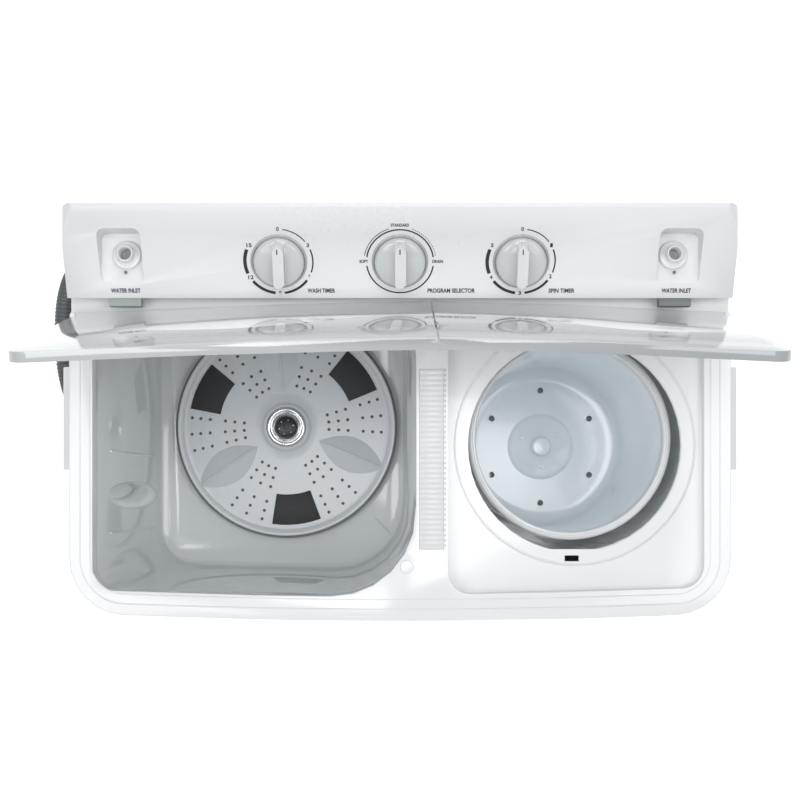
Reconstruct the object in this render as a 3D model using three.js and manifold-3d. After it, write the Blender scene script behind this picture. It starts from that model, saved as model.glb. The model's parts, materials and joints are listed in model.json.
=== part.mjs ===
// Portable twin-tub washing machine: wash tub on the left, spin dryer on the right.
// Millimetres, +Z up, the front faces -Y. Origin: centre of the footprint, on the floor.
// It is modelled with both lids open.
import * as THREE from 'three';
import { mergeVertices } from 'three/addons/utils/BufferGeometryUtils.js';
import Module from 'manifold-3d';

const wasm = await Module();
wasm.setup();

// ---------- driving dimensions ----------
const HALF_WIDTH = 375;
const FRONT_Y = -217.5;          // front edge at the corners
const FRONT_BOW = 8;             // the front edge swells by this much at the middle
const BACK_Y = 234;
const RIM_Z = 780;               // top of the deck at its outer ends
const DECK_SKIRT_Z = 748;
const DECK_REAR_Z = 768;         // lower step behind the lids
const DECK_WALL = 4;
const DECK_STEP_Y = 103;
const SEAM_X = 35;               // where the two lids meet
const ARCH = 13;                 // the deck and lids rise by this much towards the seam
const GAP = 0.3;                 // clearance between neighbouring pieces

const CABINET = { halfX: 365, frontY: -207.5, backY: 224, bottom: 70.3, top: 747.7, wall: 3 };
const TRAY = { halfX: 362, frontY: -204.5, backY: 221, bottom: 18.3, top: 70, wall: 4, floor: 5 };
const FOOT = { radius: 23, height: 18, x: 310, frontY: -155, backY: 178 };

const WASH_OPENING = { x0: -348, x1: 18, y0: -190, y1: 98, radii: [25, 96, 25, 25] };
const WASH_TUB_TOP = { x0: -348, x1: 18, y0: -190, y1: 165, radii: [25, 96, 40, 40] };
const WASH_TUB_FLOOR = { x0: -335, x1: 8, y0: -183, y1: 160, radii: [55, 96, 50, 50] };
const WASH_TUB_TOP_Z = 751.7;
const WASH_FLOOR_Z = 400;
const TUB_WALL = 3;

const WASHBOARD = { x0: 21.5, x1: 49.5, y0: -145, y1: 58, ridges: 35, crest: 1.8 };

const SPIN_RECESS = { x0: 54, x1: 344, y0: -187.5, y1: 98, radii: [25, 25, 25, 25] };
const SPIN_MOUTH = { x: 199.6, y: -27.2, radius: 122, flange: 136, chordY: -146 };
const SPIN_RECESS_Z = 768;
const SPIN_PAN_Z = 757;
const SPIN_AXIS = { x: 197, y: -18 };
const SPIN_TUB = { inner: 131, bottom: 330, top: 756.7 };
const BASKET = { outer: 113, wall: 2, bottom: 380, top: 716.7 };
const BASKET_RING = { inner: 109, outer: 118.5, bottom: 717, top: 735 };
const BRAKE_DRUM = { radius: 45, bottom: 236, top: 256 };

const PULSATOR = { x: -156.6, y: 8, radius: 150, bottom: 408, top: 416 };
const PAD_ANGLES = [-84, 37, 154.5];
const FIN_ANGLES = [95, 214, 337];
const PAD = { inner: 93, outer: 135, halfAngle: 14.5, top: 417.5, bottom: 413.3 };

const WASH_MOTOR = { x: -20, y: 60, radius: 55, bottom: 296, top: 385 };
const PULLEY = { bottom: 270, top: 286, drive: 80, motor: 25, beltThick: 6 };

const PANEL = {
  lipY: 137, riserY: 141, lipZ: 795, topY: 229, slope: 30.5, wall: 3, halfX: 374, topHalfX: 370,
};
const KNOB_X = 134;
const KNOB_Y = 174.5;
const KNOB = { radius: 28, recess: 31.5, bar: 14 };
const INLET = { x: 304.5, y: 183.5, bore: 7, outer: 9, height: 16, collar: 15.7, floorZ: 803 };
const INLET_POCKET = { x0: 285, x1: 333, y0: 153, y1: 208, radii: [6, 6, 8, 8] };
const SLOT = { x0: 291, x1: 327, z0: 780, z1: 792, frontY: 128.5 };

const HINGE = { y: 115, z: 785, radius: 2.5, blockRadius: 7, outerX: 366 };
const LID = {
  openAngle: 77, length: 333, back: 6, plate: 3, lift: 8, skirt: 7, outerFront: 360, outerBack: 364,
};
const TAB_XS_LEFT = [-338, -247, -143, -33];
const TAB_XS_RIGHT = [119, 250, 336];

const HOSE = { radius: 11, archY: 106, archZ: 634, bend: 88, outX: -394, legX: -382, exitZ: 130, endZ: 150 };

// ---------- materials ----------
const finish = (color, roughness, metalness = 0) =>
  new THREE.MeshStandardMaterial({ color, roughness, metalness });
const WHITE = finish(0xeceeed, 0.25);
const PANEL_GREY = finish(0xdfe3e6, 0.3);
const TUB_GREY = finish(0xaeb9b4, 0.35);
const PALE_BLUE = finish(0xc3cbd4, 0.35);
const BASKET_BLUE = finish(0xb9c8d0, 0.3);
const LID_MILK = finish(0xe6e9ea, 0.15);
const KNOB_GREY = finish(0xc4c8cc, 0.25);
const CHARCOAL = finish(0x2e3033, 0.7);
const HOSE_GREY = finish(0x62666a, 0.5);
const RUBBER = finish(0x26282a, 0.85);
const STEEL = finish(0xb8bcc0, 0.35, 0.9);
const CHROME = finish(0xdadde0, 0.1, 1);
const MOTOR_GREY = finish(0x70757a, 0.5, 0.7);
const BLACK = finish(0x1d1e20, 0.45);

// ---------- solids ----------
function signedVolume(positions, indices) {
  const a = new THREE.Vector3();
  const b = new THREE.Vector3();
  const c = new THREE.Vector3();
  let sum = 0;
  for (let i = 0; i < indices.length; i += 3) {
    a.fromArray(positions, indices[i] * 3);
    b.fromArray(positions, indices[i + 1] * 3);
    c.fromArray(positions, indices[i + 2] * 3);
    sum += a.dot(b.cross(c));
  }
  return sum;
}

function solid(geometry) {
  const bare = geometry.clone();
  bare.deleteAttribute('normal');
  bare.deleteAttribute('uv');
  const merged = mergeVertices(bare, 1e-3);
  const positions = merged.getAttribute('position').array;
  const triangles = [];
  for (let i = 0; i < merged.index.count; i += 3) {
    const [a, b, c] = [0, 1, 2].map((k) => merged.index.getX(i + k));
    if (a !== b && b !== c && c !== a) triangles.push(a, b, c);
  }
  if (signedVolume(positions, triangles) < 0) triangles.reverse();
  const vertProperties = new Float32Array(positions);
  const triVerts = new Uint32Array(triangles);
  return new wasm.Manifold(new wasm.Mesh({ numProp: 3, vertProperties, triVerts }));
}

function geometryOf(body) {
  const mesh = body.getMesh();
  const geometry = new THREE.BufferGeometry();
  geometry.setAttribute('position', new THREE.BufferAttribute(new Float32Array(mesh.vertProperties), 3));
  geometry.setIndex(new THREE.BufferAttribute(new Uint32Array(mesh.triVerts), 1));
  geometry.computeVertexNormals();
  return geometry;
}

const join = (first, ...rest) => rest.reduce((sum, body) => sum.add(body), first);
const cut = (first, ...rest) => rest.reduce((sum, body) => sum.subtract(body), first);

function box([x0, y0, z0], [x1, y1, z1]) {
  const geometry = new THREE.BoxGeometry(x1 - x0, y1 - y0, z1 - z0);
  return solid(geometry.translate((x0 + x1) / 2, (y0 + y1) / 2, (z0 + z1) / 2));
}

// A closed profile of [radius, z] turned about the vertical line through (x, y).
function turned(profile, x = 0, y = 0, segments = 32) {
  const points = [...profile, profile[0]].map(([r, z]) => new THREE.Vector2(r, z));
  return solid(new THREE.LatheGeometry(points, segments).rotateX(Math.PI / 2).translate(x, y, 0));
}

const disc = (x, y, z0, z1, radius, segments = 32) =>
  turned([[0, z0], [radius, z0], [radius, z1], [0, z1]], x, y, segments);

function rodAlongX(x0, x1, y, z, radius, segments = 16) {
  const geometry = new THREE.CylinderGeometry(radius, radius, x1 - x0, segments);
  return solid(geometry.rotateZ(Math.PI / 2).translate((x0 + x1) / 2, y, z));
}

function rodAlongY(y0, y1, x, z, radius, segments = 16) {
  const geometry = new THREE.CylinderGeometry(radius, radius, y1 - y0, segments);
  return solid(geometry.translate(x, (y0 + y1) / 2, z));
}

const prism = (points, depth) =>
  new THREE.ExtrudeGeometry(new THREE.Shape(points), { depth, bevelEnabled: false });

function plate(points, z0, z1) {
  const geometry = prism(points, z1 - z0);
  return solid(geometry.translate(0, 0, z0));
}

// An outline in X and Z, extruded from y0 to y1.
function plateAlongY(points, y0, y1) {
  const geometry = prism(points, y1 - y0);
  return solid(geometry.rotateX(Math.PI / 2).translate(0, y1, 0));
}

// An outline in Y and Z, extruded from x0 to x1.
function plateAlongX(points, x0, x1) {
  const geometry = prism(points, x1 - x0);
  return solid(geometry.rotateZ(Math.PI / 2).rotateY(Math.PI / 2).translate(x0, 0, 0));
}

// A round tube or rod that follows a smooth curve.
function tubeAlong(points, radius, sides, steps) {
  const section = new THREE.Shape();
  section.absarc(0, 0, radius, 0, Math.PI * 2);
  const extrudePath = new THREE.CatmullRomCurve3(points.map((p) => new THREE.Vector3(...p)));
  const options = { extrudePath, steps, curveSegments: sides / 2, bevelEnabled: false };
  const geometry = new THREE.ExtrudeGeometry(section, options);
  return solid(geometry);
}

const v2 = (x, y) => new THREE.Vector2(x, y);

// A rectangle with rounded corners, in the order front left, front right, back right, back left.
function rounded({ x0, x1, y0, y1, radii }, inset = 0, segments = 6) {
  const corners = [
    [x0 + inset, y0 + inset, 1, 1, 180],
    [x1 - inset, y0 + inset, -1, 1, 270],
    [x1 - inset, y1 - inset, -1, -1, 0],
    [x0 + inset, y1 - inset, 1, -1, 90],
  ];
  const points = [];
  corners.forEach(([x, y, inX, inY, start], k) => {
    const radius = Math.max(radii[k] - inset, 1);
    for (let i = 0; i <= segments; i += 1) {
      const angle = THREE.MathUtils.degToRad(start + (90 * i) / segments);
      points.push(v2(x + radius * (inX + Math.cos(angle)), y + radius * (inY + Math.sin(angle))));
    }
  });
  return points;
}

// The same outline with its front edge swelling forwards, like the front of the machine.
function bowed(area, inset = 0, segments = 6) {
  const points = rounded(area, inset, segments);
  const left = points[segments];
  const right = points[segments + 1];
  const front = [1, 2, 3, 4, 5].map((k) => left.clone().lerp(right, k / 6));
  points.splice(segments + 1, 0, ...front);
  for (const point of points) {
    if (point.y < -100) point.y -= FRONT_BOW * (1 - (point.x / HALF_WIDTH) ** 2);
  }
  return points;
}

// A closed skin over rings of equal point count, each { points, z }, from the bottom up.
function loft(rings) {
  const count = rings[0].points.length;
  const positions = rings.flatMap(({ points, z }) => points.flatMap((p) => [p.x, p.y, z]));
  const indices = [];
  for (let k = 0; k < rings.length - 1; k += 1) {
    for (let i = 0; i < count; i += 1) {
      const a = k * count + i;
      const b = k * count + ((i + 1) % count);
      indices.push(a, b, b + count, a, b + count, a + count);
    }
  }
  const last = (rings.length - 1) * count;
  for (const [a, b, c] of THREE.ShapeUtils.triangulateShape(rings[0].points, [])) {
    indices.push(a, c, b);
  }
  for (const [a, b, c] of THREE.ShapeUtils.triangulateShape(rings[rings.length - 1].points, [])) {
    indices.push(last + a, last + b, last + c);
  }
  const geometry = new THREE.BufferGeometry();
  geometry.setAttribute('position', new THREE.Float32BufferAttribute(positions, 3));
  geometry.setIndex(indices);
  return solid(geometry);
}

// ---------- the machine's scene graph ----------
const machine = new THREE.Group();

function add(name, body, material, parent = machine) {
  const mesh = new THREE.Mesh(geometryOf(body), material);
  mesh.name = name;
  parent.add(mesh);
  return mesh;
}

// Height that the deck and the lids gain towards the seam.
function archAt(x) {
  const reach = x < SEAM_X ? 400 : 340;
  return ARCH * (1 - Math.abs((x - SEAM_X) / reach) ** 1.6);
}

// A block with an arched top: archAt(x) + top, down to a flat bottom or an arched one.
function archedBlock(x0, x1, y0, y1, top, bottom, archedBottom = false) {
  const steps = 14;
  const xs = Array.from({ length: steps + 1 }, (_, k) => x0 + ((x1 - x0) * k) / steps);
  const upper = xs.map((x) => v2(x, archAt(x) + top));
  const lower = archedBottom ? xs.map((x) => v2(x, archAt(x) + bottom)) : [v2(x0, bottom), v2(x1, bottom)];
  return plateAlongY([...lower, ...upper.reverse()], y0, y1);
}

// ---------- feet, base, cabinet ----------
const frame = ({ halfX, frontY, backY }, radii) => ({ x0: -halfX, x1: halfX, y0: frontY, y1: backY, radii });

function addFeet() {
  for (const [side, x] of [['left', -FOOT.x], ['right', FOOT.x]]) {
    for (const [end, y] of [['front', FOOT.frontY], ['back', FOOT.backY]]) {
      const { radius, height } = FOOT;
      const profile = [[0, 0], [radius - 2, 0], [radius, 3], [radius - 5, height], [0, height]];
      add(`foot_${end}_${side}`, turned(profile, x, y, 20), RUBBER);
    }
  }
}

function addBaseTray() {
  const area = frame(TRAY, [50, 50, 22, 22]);
  const shell = cut(
    plate(bowed(area), TRAY.bottom, TRAY.top),
    plate(bowed(area, TRAY.wall), TRAY.bottom + TRAY.floor, TRAY.top + 1),
  );
  const brakePost = turned([[0, 20], [10, 20], [9, 238], [4, 238], [4, 260], [0, 260]], 140, 40, 16);
  add('base_tray', join(shell, brakePost), WHITE);
}

function addCabinet() {
  const area = frame(CABINET, [55, 55, 25, 25]);
  const shell = cut(
    plate(bowed(area), CABINET.bottom, CABINET.top),
    plate(bowed(area, CABINET.wall), CABINET.bottom - 1, CABINET.top + 1),
  );
  const rearOpening = box([-300, CABINET.backY - 10, 110], [300, CABINET.backY + 5, 640]);
  const drainHole = rodAlongX(-380, -340, HOSE.archY + HOSE.bend, 95, 9.5);
  const glandHole = rodAlongY(CABINET.backY - 10, CABINET.backY + 5, 330, 690, 8.5);
  add('cabinet', cut(shell, rearOpening, drainHole, glandHole), WHITE);
}

function addRearCover() {
  const y = CABINET.backY + GAP;
  const cover = box([-310, y, 100], [310, y + 3, 650]);
  const grooves = [300, 322, 344, 366, 388, 410].map((z) => box([-120, y + 1.5, z], [120, y + 5, z + 8]));
  add('rear_cover', cut(cover, ...grooves), WHITE);
}

function addPowerGland() {
  const gland = join(
    rodAlongY(CABINET.backY - 8, CABINET.backY + 1, 330, 690, 8),
    rodAlongY(CABINET.backY + GAP, CABINET.backY + 9, 330, 690, 12),
  );
  add('power_cord_gland', cut(gland, rodAlongY(CABINET.backY - 10, CABINET.backY + 12, 330, 690, 4)), BLACK);
}

// ---------- deck ----------
function addDeck() {
  const area = { x0: -HALF_WIDTH, x1: HALF_WIDTH, y0: FRONT_Y, y1: BACK_Y, radii: [62, 62, 22, 22] };
  const reach = HALF_WIDTH + 5;
  const outside = plate(bowed(area), DECK_SKIRT_Z, RIM_Z + 30).intersect(join(
    archedBlock(-reach, reach, -240, DECK_STEP_Y, RIM_Z, DECK_SKIRT_Z - 10),
    box([-reach, DECK_STEP_Y - 0.1, DECK_SKIRT_Z - 10], [reach, 240, DECK_REAR_Z]),
  ));
  const inside = plate(bowed(area, DECK_WALL), DECK_SKIRT_Z - 5, RIM_Z + 30).intersect(join(
    archedBlock(-reach, reach, -240, DECK_STEP_Y - DECK_WALL, RIM_Z - DECK_WALL, DECK_SKIRT_Z - 10),
    box([-reach, DECK_STEP_Y - DECK_WALL - 0.1, DECK_SKIRT_Z - 10], [reach, 240, DECK_REAR_Z - DECK_WALL]),
  ));
  const washCollar = plate(bowed(WASH_OPENING, -3.5), WASH_TUB_TOP_Z + GAP, RIM_Z + 30).intersect(outside);
  const spinPan = plate(bowed(SPIN_RECESS, -DECK_WALL), SPIN_PAN_Z, RIM_Z + 30).intersect(outside);
  const mouth = disc(SPIN_MOUTH.x, SPIN_MOUTH.y, SPIN_PAN_Z - 5, RIM_Z, SPIN_MOUTH.radius, 48)
    .intersect(box([60, SPIN_MOUTH.chordY, SPIN_PAN_Z - 6], [340, 120, RIM_Z + 1]));
  const flange = disc(SPIN_MOUTH.x, SPIN_MOUTH.y, SPIN_RECESS_Z - 2.5, RIM_Z, SPIN_MOUTH.flange, 48)
    .intersect(box([55, -190, SPIN_PAN_Z], [343, 97.5, RIM_Z + 1]));
  const deck = cut(
    join(cut(outside, inside), washCollar, spinPan),
    plate(bowed(WASH_OPENING), WASH_TUB_TOP_Z, RIM_Z + 40),
    plate(bowed(SPIN_RECESS), SPIN_RECESS_Z, RIM_Z + 40),
    mouth,
    flange,
    box([188, -160, SPIN_PAN_Z - 1], [205, -153, RIM_Z]),
    box([WASHBOARD.x0, WASHBOARD.y0, WASH_TUB_TOP_Z], [WASHBOARD.x1, WASHBOARD.y1, RIM_Z + 40]),
  );
  add('top_deck', deck, WHITE);
}


function addWashboard() {
  const top = RIM_Z + ARCH;
  const start = WASHBOARD.y0 + GAP;
  const pitch = (WASHBOARD.y1 - WASHBOARD.y0 - 2 * GAP) / WASHBOARD.ridges;
  const outline = [v2(start, top - 10)];
  for (let k = WASHBOARD.ridges; k > 0; k -= 1) {
    outline.push(v2(start + pitch * k, top - WASHBOARD.crest));
    outline.push(v2(start + pitch * (k - 0.5), top));
  }
  outline.push(v2(start, top - WASHBOARD.crest));
  outline.splice(1, 0, v2(start + pitch * WASHBOARD.ridges, top - 10));
  add('washboard_strip', plateAlongX(outline, WASHBOARD.x0 + GAP, WASHBOARD.x1 - GAP), WHITE);
}

function addHandGrips() {
  for (const [side, sign] of [['left', -1], ['right', 1]]) {
    const inner = sign * (HALF_WIDTH + GAP);
    const outer = sign * (HALF_WIDTH + 12);
    const low = sign * (HALF_WIDTH + 8);
    const outline = [v2(inner, 750), v2(low, 747), v2(outer, 751), v2(outer, 755), v2(inner, 760)];
    add(`hand_grip_${side}`, plateAlongY(outline, -55, 63), WHITE);
  }
}

// ---------- wash side ----------
function between(low, high, z) {
  const t = (z - WASH_FLOOR_Z) / (WASH_TUB_TOP_Z - WASH_FLOOR_Z);
  const mix = (key) => THREE.MathUtils.lerp(low[key], high[key], t);
  const radii = low.radii.map((r, k) => THREE.MathUtils.lerp(r, high.radii[k], t));
  return { x0: mix('x0'), x1: mix('x1'), y0: mix('y0'), y1: mix('y1'), radii };
}

function tubRing(z, inset) {
  return { points: bowed(between(WASH_TUB_FLOOR, WASH_TUB_TOP, z), inset), z };
}

function addWashTub() {
  const cavity = loft([
    tubRing(WASH_FLOOR_Z, 14),
    tubRing(WASH_FLOOR_Z + 4, 4),
    tubRing(WASH_FLOOR_Z + 14, 0),
    tubRing(WASH_TUB_TOP_Z + 5, 0),
  ]);
  const outside = loft([
    tubRing(WASH_FLOOR_Z - 4, 14 - TUB_WALL),
    tubRing(WASH_FLOOR_Z + 2, 4 - TUB_WALL),
    tubRing(WASH_FLOOR_Z + 13, -TUB_WALL),
    tubRing(WASH_TUB_TOP_Z, -TUB_WALL),
  ]);
  const hubHole = disc(PULSATOR.x, PULSATOR.y, WASH_FLOOR_Z - 10, WASH_FLOOR_Z + 5, 17);
  const drainHole = disc(DRAIN.x, DRAIN.y, WASH_FLOOR_Z - 10, WASH_FLOOR_Z + 5, DRAIN.bore, 20);
  add('wash_tub', cut(outside, cavity, hubHole, drainHole), TUB_GREY);
}

function addLintFilterCover() {
  const cover = cut(
    box([-160, 136, 446], [-60, 157, 690]),
    box([-157.5, 138.5, 440], [-62.5, 160, 687.5]),
    ...[0, 1, 2, 3, 4, 5].map((k) => box([-145, 130, 560 + 14 * k], [-75, 140, 566 + 14 * k])),
  );
  add('lint_filter_cover', cover, PALE_BLUE);
}

function pulsatorFin(angle) {
  const ridge = new THREE.SphereGeometry(1, 10, 8).scale(50, 23, 22).translate(96, 0, PULSATOR.top);
  return solid(ridge.rotateZ(THREE.MathUtils.degToRad(angle)).translate(PULSATOR.x, PULSATOR.y, 0));
}

function padSector(angle, z0, z1, margin) {
  const halfAngle = PAD.halfAngle + THREE.MathUtils.radToDeg(margin / PAD.outer);
  const arc = (radius, from, to) => [0, 1, 2, 3, 4, 5, 6].map((k) => {
    const turn = THREE.MathUtils.degToRad(angle + from + ((to - from) * k) / 6);
    return v2(PULSATOR.x + radius * Math.cos(turn), PULSATOR.y + radius * Math.sin(turn));
  });
  const outline = [
    ...arc(PAD.outer + margin, -halfAngle, halfAngle),
    ...arc(PAD.inner - margin, halfAngle, -halfAngle),
  ];
  return plate(outline, z0, z1);
}

function addPulsator() {
  const { x, y, radius, bottom, top } = PULSATOR;
  const profile = [
    [0, bottom], [radius - 6, bottom], [radius, bottom + 3], [radius, top + 3], [radius - 6, top + 4],
    [radius - 10, top], [36, top], [31, top + 6], [29, top + 7], [0, top + 7],
  ];
  const skirt = turned(profile, x, y, 40);
  const shaft = disc(x, y, 300, bottom + 1, 10, 20);
  const pockets = PAD_ANGLES.map((angle) => padSector(angle, PAD.bottom - GAP, top + 10, GAP));
  const hubPocket = disc(x, y, top + 4, top + 20, 27, 32);
  const fins = FIN_ANGLES.map(pulsatorFin);
  const above = disc(x, y, bottom + 1, top + 40, radius, 40);
  const body = join(skirt, shaft, ...fins.map((fin) => fin.intersect(above)));
  add('pulsator', cut(body, ...pockets, hubPocket), PALE_BLUE);
  PAD_ANGLES.forEach((angle, k) => {
    add(`lint_pad_${k + 1}`, padSector(angle, PAD.bottom, PAD.top, 0), CHARCOAL);
  });
  const seat = top + 4 + GAP;
  add('pulsator_hub_ring', turned([
    [15.5, seat], [26.5, seat], [26.5, top + 8], [24, top + 10], [18, top + 10], [15.5, top + 8],
  ], x, y, 24), CHROME);
  add('pulsator_bolt_cap', turned([
    [0, seat], [15, seat], [15, top + 7], [13, top + 8], [3, top + 8], [3, top + 6], [0, top + 6],
  ], x, y, 16), BLACK);
}

function addGearbox() {
  const { x, y } = PULSATOR;
  const top = WASH_FLOOR_Z - 4 - GAP;
  const profile = [
    [10.4, 302], [50, 302], [50, 380], [66, 384], [66, top], [16.5, top], [16.5, 402], [10.4, 402],
  ];
  add('gearbox', turned(profile, x, y, 20), MOTOR_GREY);
  const { bottom, drive } = PULLEY;
  const wheel = turned([
    [0, 262], [14, 262], [14, 274], [68, 274], [68, bottom], [drive, bottom],
    [drive, PULLEY.top], [68, PULLEY.top], [68, 280], [14, 280], [14, 298], [0, 298],
  ], x, y, 24);
  add('drive_pulley', wheel, BLACK);
}

// The outline of a belt that lies against both pulleys, at a distance from their rims.
function beltOutline(distance) {
  const big = { ...PULSATOR, r: PULLEY.drive + distance };
  const small = { ...WASH_MOTOR, r: PULLEY.motor + distance };
  const span = Math.hypot(small.x - big.x, small.y - big.y);
  const heading = Math.atan2(small.y - big.y, small.x - big.x);
  const lean = Math.acos((big.r - small.r) / span);
  const arc = (centre, from, to) => Array.from({ length: 19 }, (_, k) => {
    const turn = heading + from + ((to - from) * k) / 18;
    const radius = centre.r / Math.cos((to - from) / 36);
    return v2(centre.x + radius * Math.cos(turn), centre.y + radius * Math.sin(turn));
  });
  return [...arc(small, -lean, lean), ...arc(big, lean, 2 * Math.PI - lean)];
}

function addWashDrive() {
  const { x, y, radius, bottom, top } = WASH_MOTOR;
  const motor = turned([
    [0, bottom], [18, bottom], [18, bottom + 4], [radius, bottom + 8],
    [radius, top - 10], [radius - 12, top], [0, top],
  ], x, y, 28);
  add('wash_motor', motor, MOTOR_GREY);
  add('motor_pulley', turned([
    [0, 264], [12, 264], [12, PULLEY.bottom], [PULLEY.motor, PULLEY.bottom], [PULLEY.motor, PULLEY.top],
    [7, PULLEY.top], [7, bottom - GAP], [0, bottom - GAP],
  ], x, y, 24), BLACK);
  const belt = cut(
    plate(beltOutline(PULLEY.beltThick), PULLEY.bottom + 2, PULLEY.top - 2),
    plate(beltOutline(GAP), PULLEY.bottom, PULLEY.top),
  );
  add('drive_belt', belt, RUBBER);
  const floor = TRAY.bottom + TRAY.floor + GAP;
  const bracket = cut(
    join(
      box([-76, 0, 290], [44, 124, bottom - GAP]),
      box([38, 30, floor], [44, 90, 291]),
      box([-50, 118, floor], [10, 124, 291]),
    ),
    disc(x, y, 280, 310, 14, 24),
  );
  add('wash_motor_bracket', bracket, STEEL);
}

const DRAIN = { x: -258, y: 122, bore: 14, body: 24, top: 395.7, bottom: 330, outletZ: 345 };

function addDrain() {
  const { x, y, bore, body, top, bottom, outletZ } = DRAIN;
  const housing = cut(
    join(disc(x, y, bottom, top, body, 24), rodAlongX(x - 42, x - 10, y, outletZ, 12, 20)),
    disc(x, y, bottom + 4, top + 1, bore, 24),
    rodAlongX(x - 45, x, y, outletZ, 8.5, 16),
    disc(x, y, bottom - 1, bottom + 5, 4.6, 16),
  );
  add('drain_valve_body', housing, TUB_GREY);
  add('drain_valve_plug', turned(
    [[0, 316], [9, 316], [9, 320], [4, 320], [4, 366], [13.4, 370], [13.4, 380], [0, 384]],
    x, y, 20,
  ), RUBBER);
  const y1 = HOSE.archY + HOSE.bend;
  add('internal_drain_hose', tubeAlong([
    [x - 42 - GAP, y, outletZ], [x - 52, y, outletZ], [-324, y + 6, 328], [-334, y + 26, 280],
    [-330, y + 50, 215], [-318, y1 - 6, 150], [-316, y1, 112],
    [-330, y1, 96], [-342, y1, 95], [-351.4, y1, 95],
  ], 9, 8, 22), HOSE_GREY);
  const elbow = join(
    rodAlongX(-391, -352, y1, 95, 9, 20),
    rodAlongX(-380, -CABINET.halfX - GAP, y1, 95, 13, 20),
    disc(HOSE.legX - 7, y1, 84, HOSE.exitZ - GAP, 11, 20),
  );
  add('drain_elbow', elbow, HOSE_GREY);
}

// The hose climbs from the elbow, turns over the hook in a half circle and hangs down again.
function hosePoints() {
  const { archY, archZ, bend, outX, legX } = HOSE;
  const climb = [
    [legX - 7, archY + bend, HOSE.exitZ],
    [legX - 7, archY + bend, 200],
    [legX - 4, archY + bend, 300],
    [legX - 1, archY + bend, 400],
    [legX, archY + bend, 500],
    [legX - 2, archY + bend, 570],
  ];
  const arch = [0, 22.5, 45, 67.5, 90, 112.5, 135, 157.5, 180].map((degrees) => {
    const turn = THREE.MathUtils.degToRad(degrees);
    const lean = (outX - legX + 5) * Math.sin(turn);
    return [legX - 5 + lean, archY + bend * Math.cos(turn), archZ + bend * Math.sin(turn)];
  });
  const hang = [
    [legX - 2, archY - bend, 570],
    [legX, archY - bend, 500],
    [legX, archY - bend, 400],
    [legX - 1, archY - bend, 300],
    [legX - 2, archY - bend, 210],
    [legX - 2, archY - bend, HOSE.endZ],
  ];
  return [...climb, ...arch, ...hang];
}

function addDrainHose() {
  add('drain_hose', tubeAlong(hosePoints(), HOSE.radius, 8, 40), HOSE_GREY);
  const x = HOSE.legX - 2;
  const y = HOSE.archY - HOSE.bend;
  const top = HOSE.endZ - GAP;
  const nozzle = [[9, top - 45], [11, top - 45], [13, top - 12], [13, top], [9, top]];
  add('hose_end', turned(nozzle, x, y, 20), HOSE_GREY);
  const reach = -CABINET.halfX - GAP;
  const saddleTop = HOSE.archZ + HOSE.bend - HOSE.radius - 2;
  add('hose_hook', join(
    box([reach - 4, HOSE.archY - 20, 655], [reach, HOSE.archY + 20, 715]),
    box([-400, HOSE.archY - 10, saddleTop - 9], [reach - 3, HOSE.archY + 10, saddleTop]),
  ), WHITE);
}

// ---------- spin side ----------
function addSpinTub() {
  const { inner, bottom, top } = SPIN_TUB;
  const { x, y } = SPIN_AXIS;
  const outer = inner + TUB_WALL;
  const profile = [
    [30, bottom], [outer, bottom], [outer, top], [inner, top], [inner, bottom + 4], [30, bottom + 4],
  ];
  add('spin_tub', turned(profile, x, y, 36), TUB_GREY);
  add('spin_shaft_seal', turned([
    [13, 350], [9.5, 346], [20, 334], [20, 326], [45, 326],
    [45, bottom - GAP], [28, bottom - GAP], [28, 336], [17, 350],
  ], x, y, 16), RUBBER);
}

function addSpinBasket() {
  const { x, y } = SPIN_AXIS;
  const { outer, wall, bottom, top } = BASKET;
  const profile = [
    [0, bottom], [outer, bottom], [outer, top], [outer - wall, top], [outer - wall, bottom + 3],
    [20, bottom + 3], [13.5, bottom + 8], [13.5, bottom + 20], [11, bottom + 22], [0, bottom + 22],
  ];
  const holes = [0, 1, 2, 3, 4, 5].map((k) => {
    const turn = THREE.MathUtils.degToRad(60 * k + 30);
    return disc(x + 79 * Math.cos(turn), y + 79 * Math.sin(turn), bottom - 5, bottom + 8, 4, 8);
  });
  add('spin_basket', cut(turned(profile, x, y, 36), ...holes), BASKET_BLUE);
  const ring = BASKET_RING;
  add('basket_balance_ring', turned([
    [ring.inner, ring.bottom], [ring.outer, ring.bottom], [ring.outer, ring.top - 5],
    [ring.outer - 3, ring.top], [ring.inner + 3, ring.top], [ring.inner, ring.top - 5],
  ], x, y, 36), PALE_BLUE);
  const drum = BRAKE_DRUM;
  add('spin_shaft_and_brake_drum', turned([
    [0, 222.3], [8, 222.3], [8, drum.bottom], [drum.radius, drum.bottom],
    [drum.radius, drum.top], [8, drum.top], [8, 368], [40, 372], [40, bottom - GAP], [0, bottom - GAP],
  ], x, y, 20), STEEL);
}

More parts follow.
